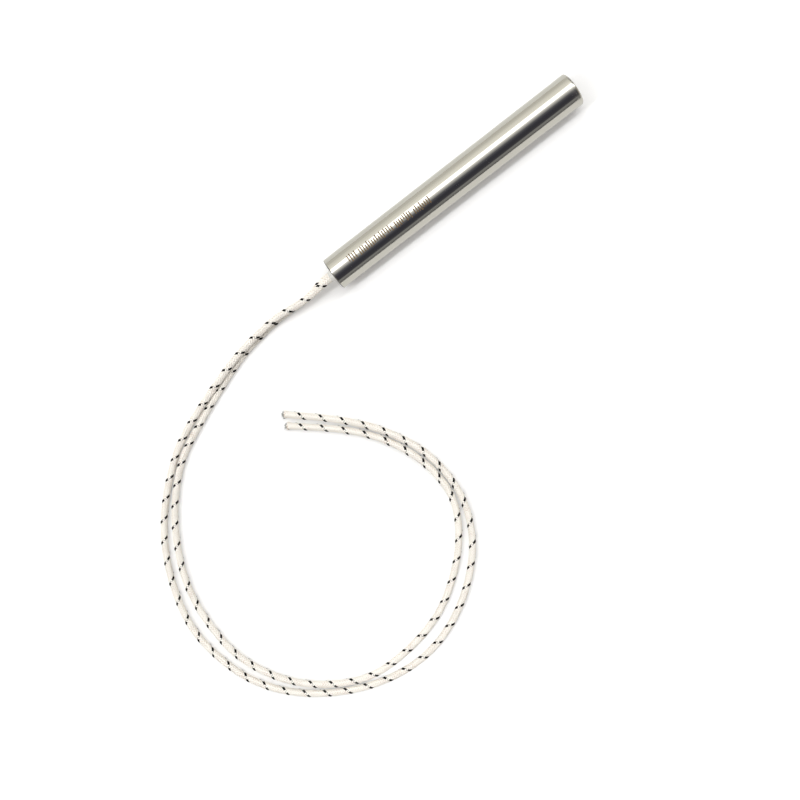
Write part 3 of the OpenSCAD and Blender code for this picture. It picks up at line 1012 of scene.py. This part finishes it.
# %% [markdown]
# ## Finishes inside
#
# The pieces inside keep their exact shapes and get the finish of what they are made of: pressed and
# fired magnesia, tamped powder, drawn nickel, oxidised resistance wire, mica paper, woven glass
# sleeving and tinned strands. They show when the heater is cut open or taken apart.

# %% Mica and sleeving
FLAKE = 0.9 * MM
WEAVE = 0.6 * MM


def mica():
    """Satin flakes, paler in their middles."""
    material, tree = new_finish("mica paper, pressed")
    where = add(tree, "ShaderNodeTexCoord").outputs["Object"]
    flakes = add(tree, "ShaderNodeTexVoronoi", {"Vector": where, "Scale": 1 / FLAKE}).outputs["Distance"]
    inputs = {"Roughness": 0.3, "IOR": 1.58}
    surface(tree, flakes, "#C9B68C", "#8F7A4E", inputs, relief=flakes, strength=0.3, depth=0.02 * MM)
    return material


def sleeving():
    """Matt warm white, with the small bumps of a weave on the slant."""
    material, tree = new_finish("glass sleeving, woven")
    where = add(tree, "ShaderNodeTexCoord").outputs["Object"]
    where = add(tree, VECTOR_MATH, {0: where, "Scale": math.tau / WEAVE}, "SCALE")
    part = add(tree, SEPARATE, [where]).outputs
    warp = add(tree, MATH, [part["X"], part["Z"]], "ADD")
    weft = add(tree, MATH, [part["X"], part["Z"]], "SUBTRACT")
    warp = add(tree, MATH, [warp], "SINE")
    weft = add(tree, MATH, [weft], "SINE")
    weave = add(tree, MATH, [warp, weft], "MULTIPLY")
    weave = add(tree, MATH, [weave, 0.5, 0.5], "MULTIPLY_ADD")
    inputs = {"Roughness": 0.7, "IOR": GLASS_IOR}
    surface(tree, weave, "#D2C5A4", "#EFE7D0", inputs, relief=weave, strength=0.6, depth=0.06 * MM)
    return material


# %% Finishes of the inner pieces
MAGNESIA_IOR = 1.74
# Fired magnesia is matt ivory with a fine grit
fired = cast(
    "magnesia, pressed and fired", "#E4DED0", "#F1ECE0",
    roughness=0.8, ior=MAGNESIA_IOR, size=0.2 * MM, depth=0.03 * MM,
)
# Tamped powder is whiter, and chalky without any shine
powder = cast(
    "magnesia powder, tamped", "#E9E6DD", "#F5F3EC",
    roughness=0.95, ior=MAGNESIA_IOR, size=0.12 * MM, depth=0.06 * MM,
)
# Drawn nickel is a warm satin grey with lines along the wire
nickel = metal("nickel, drawn", "#B5AE9F", "#CFC9BB", roughness=0.28, size=0.2 * MM, stretch=(60, 1, 1))
# The wire keeps the dull grey oxide of its first heating
alloy = metal("resistance wire, drawn and oxidised", "#4C4743", "#77716B", roughness=0.45, size=0.3 * MM)
# Pressing leaves the ferrules a little duller, with no lines
ferrules = metal("nickel ferrule, crimped", "#B9B3A6", "#D0CBBF", roughness=0.35, size=0.3 * MM)
inside = {
    fired: ["end_spacer", "core_1", "core_2", "core_3", "core_4", "core_5", "lead_bush"],
    powder: ["magnesia_fill"],
    nickel: ["long_pin", "short_pin"],
    alloy: ["resistance_wire"],
    ferrules: ["ferrule_a", "ferrule_b"],
    mica(): ["mica_washer"],
    sleeving(): ["ferrule_sleeve_a", "ferrule_sleeve_b"],
    TINNED: ["conductor_a", "conductor_b"],
}
for material, names in inside.items():
    for name in names:
        nodes[name].data.materials.clear()
        nodes[name].data.materials.append(material)
    print(material.name, "on", ", ".join(names))

# %% [markdown]
# ## The floor
#
# The heater lies on plain white paper. The paper takes the soft shadow, and a little light of its
# own, which only the camera and the polished steel see, keeps it white without more light on the
# heater.

# %% White floor
FLOOR_HALF = 3.0
OWN_LIGHT_SEEN = 0.15
OWN_LIGHT_MIRRORED = 0.05


def white_paper():
    """Matt white, with no gloss to mirror the heater."""
    material, tree = new_finish("white paper floor")
    ray = add(tree, "ShaderNodeLightPath").outputs
    own = add(tree, MATH, [ray["Is Camera Ray"], OWN_LIGHT_SEEN], "MULTIPLY")
    own = add(tree, MATH, [ray["Is Glossy Ray"], OWN_LIGHT_MIRRORED, own], "MULTIPLY_ADD")
    inputs = {
        "Base Color": linear("#F2F2F2"), "Roughness": 0.9, "Specular IOR Level": 0.1,
        "Emission Color": (1, 1, 1, 1), "Emission Strength": own,
    }
    add(tree, "ShaderNodeOutputMaterial", [add(tree, "ShaderNodeBsdfPrincipled", inputs)])
    return material


mesh = bpy.data.meshes.new("floor")
corners = [(x * FLOOR_HALF, y * FLOOR_HALF, 0) for x, y in ((-1, -1), (1, -1), (1, 1), (-1, 1))]
mesh.from_pydata(corners, [], [(0, 1, 2, 3)])
mesh.materials.append(white_paper())
floor = bpy.data.objects.new("floor", mesh)
bpy.context.scene.collection.objects.link(floor)
print("floor half side, m:", FLOOR_HALF)

# %% [markdown]
# ## The light
#
# The only light is a soft sky. A polished tube mirrors a narrow slice of it, straight across its
# axis, so the slice is painted for the tube: a bright strip a little to one side of straight up for
# the white band, and a dim side for the dark band. The rest of the sky, towards both ends of the
# tube, lights the floor and the leads: there the strip is narrow and strong, for a short soft
# shadow, and a weak warm fill from the dim side keeps the shaded half of the leads soft.

# %% Sky over the angle across the tube
# Degrees from straight up, then red, green and blue
SKY = [
    (-90, 0.055, 0.055, 0.055), (-68, 0.105, 0.105, 0.107), (-61, 0.022, 0.022, 0.026),
    (-45, 0.017, 0.017, 0.022), (-32, 0.021, 0.021, 0.028), (-20, 0.048, 0.048, 0.055),
    (-9, 0.175, 0.175, 0.18), (2, 0.36, 0.36, 0.36), (8, 1, 1, 1), (26, 1, 1, 1),
    (31, 0.41, 0.405, 0.39), (52, 0.35, 0.345, 0.325), (66, 0.275, 0.27, 0.255), (90, 0.25, 0.245, 0.23),
]
SKY_STRENGTH = 3.15


def on_ramp(degrees):
    """An angle from straight up as a place from 0 to 1 on the ramp."""
    return (degrees + 90) / 180


def sky_ramp(tree, across):
    """The colours of the sky at a place on the ramp."""
    ramp = add(tree, "ShaderNodeValToRGB", [across])
    elements = ramp.color_ramp.elements
    while len(elements) < len(SKY):
        elements.new(0.5)
    for element, (degrees, *light) in zip(elements, SKY):
        element.position = on_ramp(degrees)
        element.color = (*light, 1)
    print("sky stops:", len(elements))
    return ramp


def band(tree, across, angles):
    """One between the inner two of four angles, and nothing outside the outer two."""
    start, full, fading, end = [on_ramp(degrees) for degrees in angles]
    rise = add(tree, MAP_RANGE, [across, start, full, 0.0, 1.0])
    fall = add(tree, MAP_RANGE, [across, fading, end, 1.0, 0.0])
    return add(tree, MATH, [rise, fall], "MULTIPLY")


# %% Sky
# How far along the tube a direction points, from 0, straight across it, to 1, straight along it
FAR_START = 0.3
FAR_FULL = 0.55
ENDS_START = 0.85
ENDS_FULL = 0.97
ENDS_LIGHT = 0.1
# Far along, the sky is turned by these degrees, has a strip between four angles, and is weaker beside it
FAR_TURN = 8
FAR_STRIP = (14, 16, 20, 22)
FAR_STRIP_GAIN = 5.0
FAR_LOSS = -0.85
FILL_BAND = (-90, -70, -12, 4)
FILL_LIGHT = (0.53, 0.5, 0.44, 1)


def sky():
    world = bpy.data.worlds.new("soft studio sky")
    world.use_nodes = True
    tree = world.node_tree
    tree.nodes.clear()
    way = add(tree, SEPARATE, [add(tree, "ShaderNodeTexCoord").outputs["Generated"]]).outputs
    off = add(tree, MATH, [way["X"]], "ABSOLUTE")
    far = add(tree, MAP_RANGE, [off, FAR_START, FAR_FULL, 0.0, 1.0])
    ends = add(tree, MAP_RANGE, [off, ENDS_START, ENDS_FULL, 1.0, ENDS_LIGHT])
    across = add(tree, MATH, [way["Y"], way["Z"]], "ARCTAN2")
    across = add(tree, MAP_RANGE, [across, -math.pi / 2, math.pi / 2, 0.0, 1.0])
    across = add(tree, MATH, [far, FAR_TURN / 180, across], "MULTIPLY_ADD")

    strip = band(tree, across, FAR_STRIP)
    change = add(tree, MATH, [strip, FAR_STRIP_GAIN, FAR_LOSS], "MULTIPLY_ADD")
    level = add(tree, MATH, [far, change, 1.0], "MULTIPLY_ADD")
    level = add(tree, MATH, [level, ends], "MULTIPLY")
    level = add(tree, MATH, [level, SKY_STRENGTH], "MULTIPLY")
    lit = add(tree, "ShaderNodeBackground", {"Color": sky_ramp(tree, across), "Strength": level})

    weak = add(tree, MATH, [band(tree, across, FILL_BAND), far], "MULTIPLY")
    weak = add(tree, MATH, [weak, ends], "MULTIPLY")
    fill = add(tree, "ShaderNodeBackground", {"Color": FILL_LIGHT, "Strength": weak})
    lit = add(tree, "ShaderNodeAddShader", [lit, fill])

    # The camera sees plain white in place of the sky
    plain = add(tree, "ShaderNodeBackground", {"Color": (1, 1, 1, 1), "Strength": 1.0})
    seen = add(tree, "ShaderNodeLightPath").outputs["Is Camera Ray"]
    add(tree, "ShaderNodeOutputWorld", [add(tree, "ShaderNodeMixShader", [seen, lit, plain])])
    return world


bpy.context.scene.world = sky()
bpy.context.scene.view_settings.view_transform = "Standard"
print("world:", bpy.context.scene.world.name)
